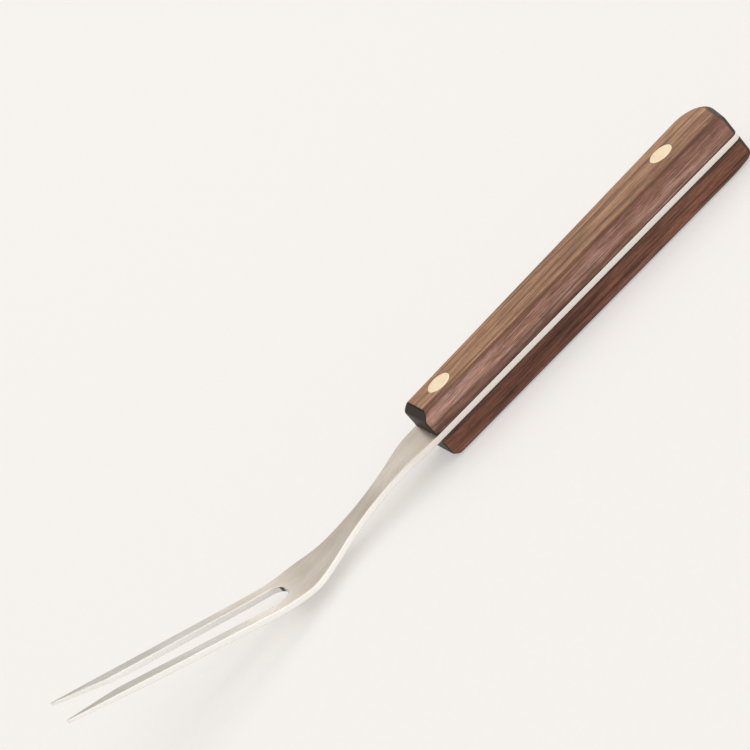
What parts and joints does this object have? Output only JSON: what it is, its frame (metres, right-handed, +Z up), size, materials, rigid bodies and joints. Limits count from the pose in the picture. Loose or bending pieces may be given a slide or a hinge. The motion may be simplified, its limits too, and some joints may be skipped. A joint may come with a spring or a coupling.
{
  "type": "pot fork",
  "caption": "Kitchen fork with long pointed tines on a bent flat steel shank and a full tang riveted between wooden scales.",
  "frame": {"origin": "on the surface that the fork lies on, under the middle of its overall length and width", "axes": "+X along the fork from the handle's butt to the tips of the tines, +Z up from the surface, +Y across, square to the plane that the two tines mirror in"},
  "size_m": [0.2586, 0.0211, 0.0314],
  "materials": {
    "stainless": "satin, brushed lengthwise",
    "walnut": "fine sanded and lightly oiled, grain along the handle",
    "brass": "ground flush with the wood and lightly polished"
  },
  "bodies": {
    "root": {"fork_blade": "stainless", "upper_scale": "walnut", "lower_scale": "walnut", "front_rivet_tube": "brass", "front_rivet_pin": "brass", "rear_rivet_tube": "brass", "rear_rivet_pin": "brass"}
  },
  "joints": []
}
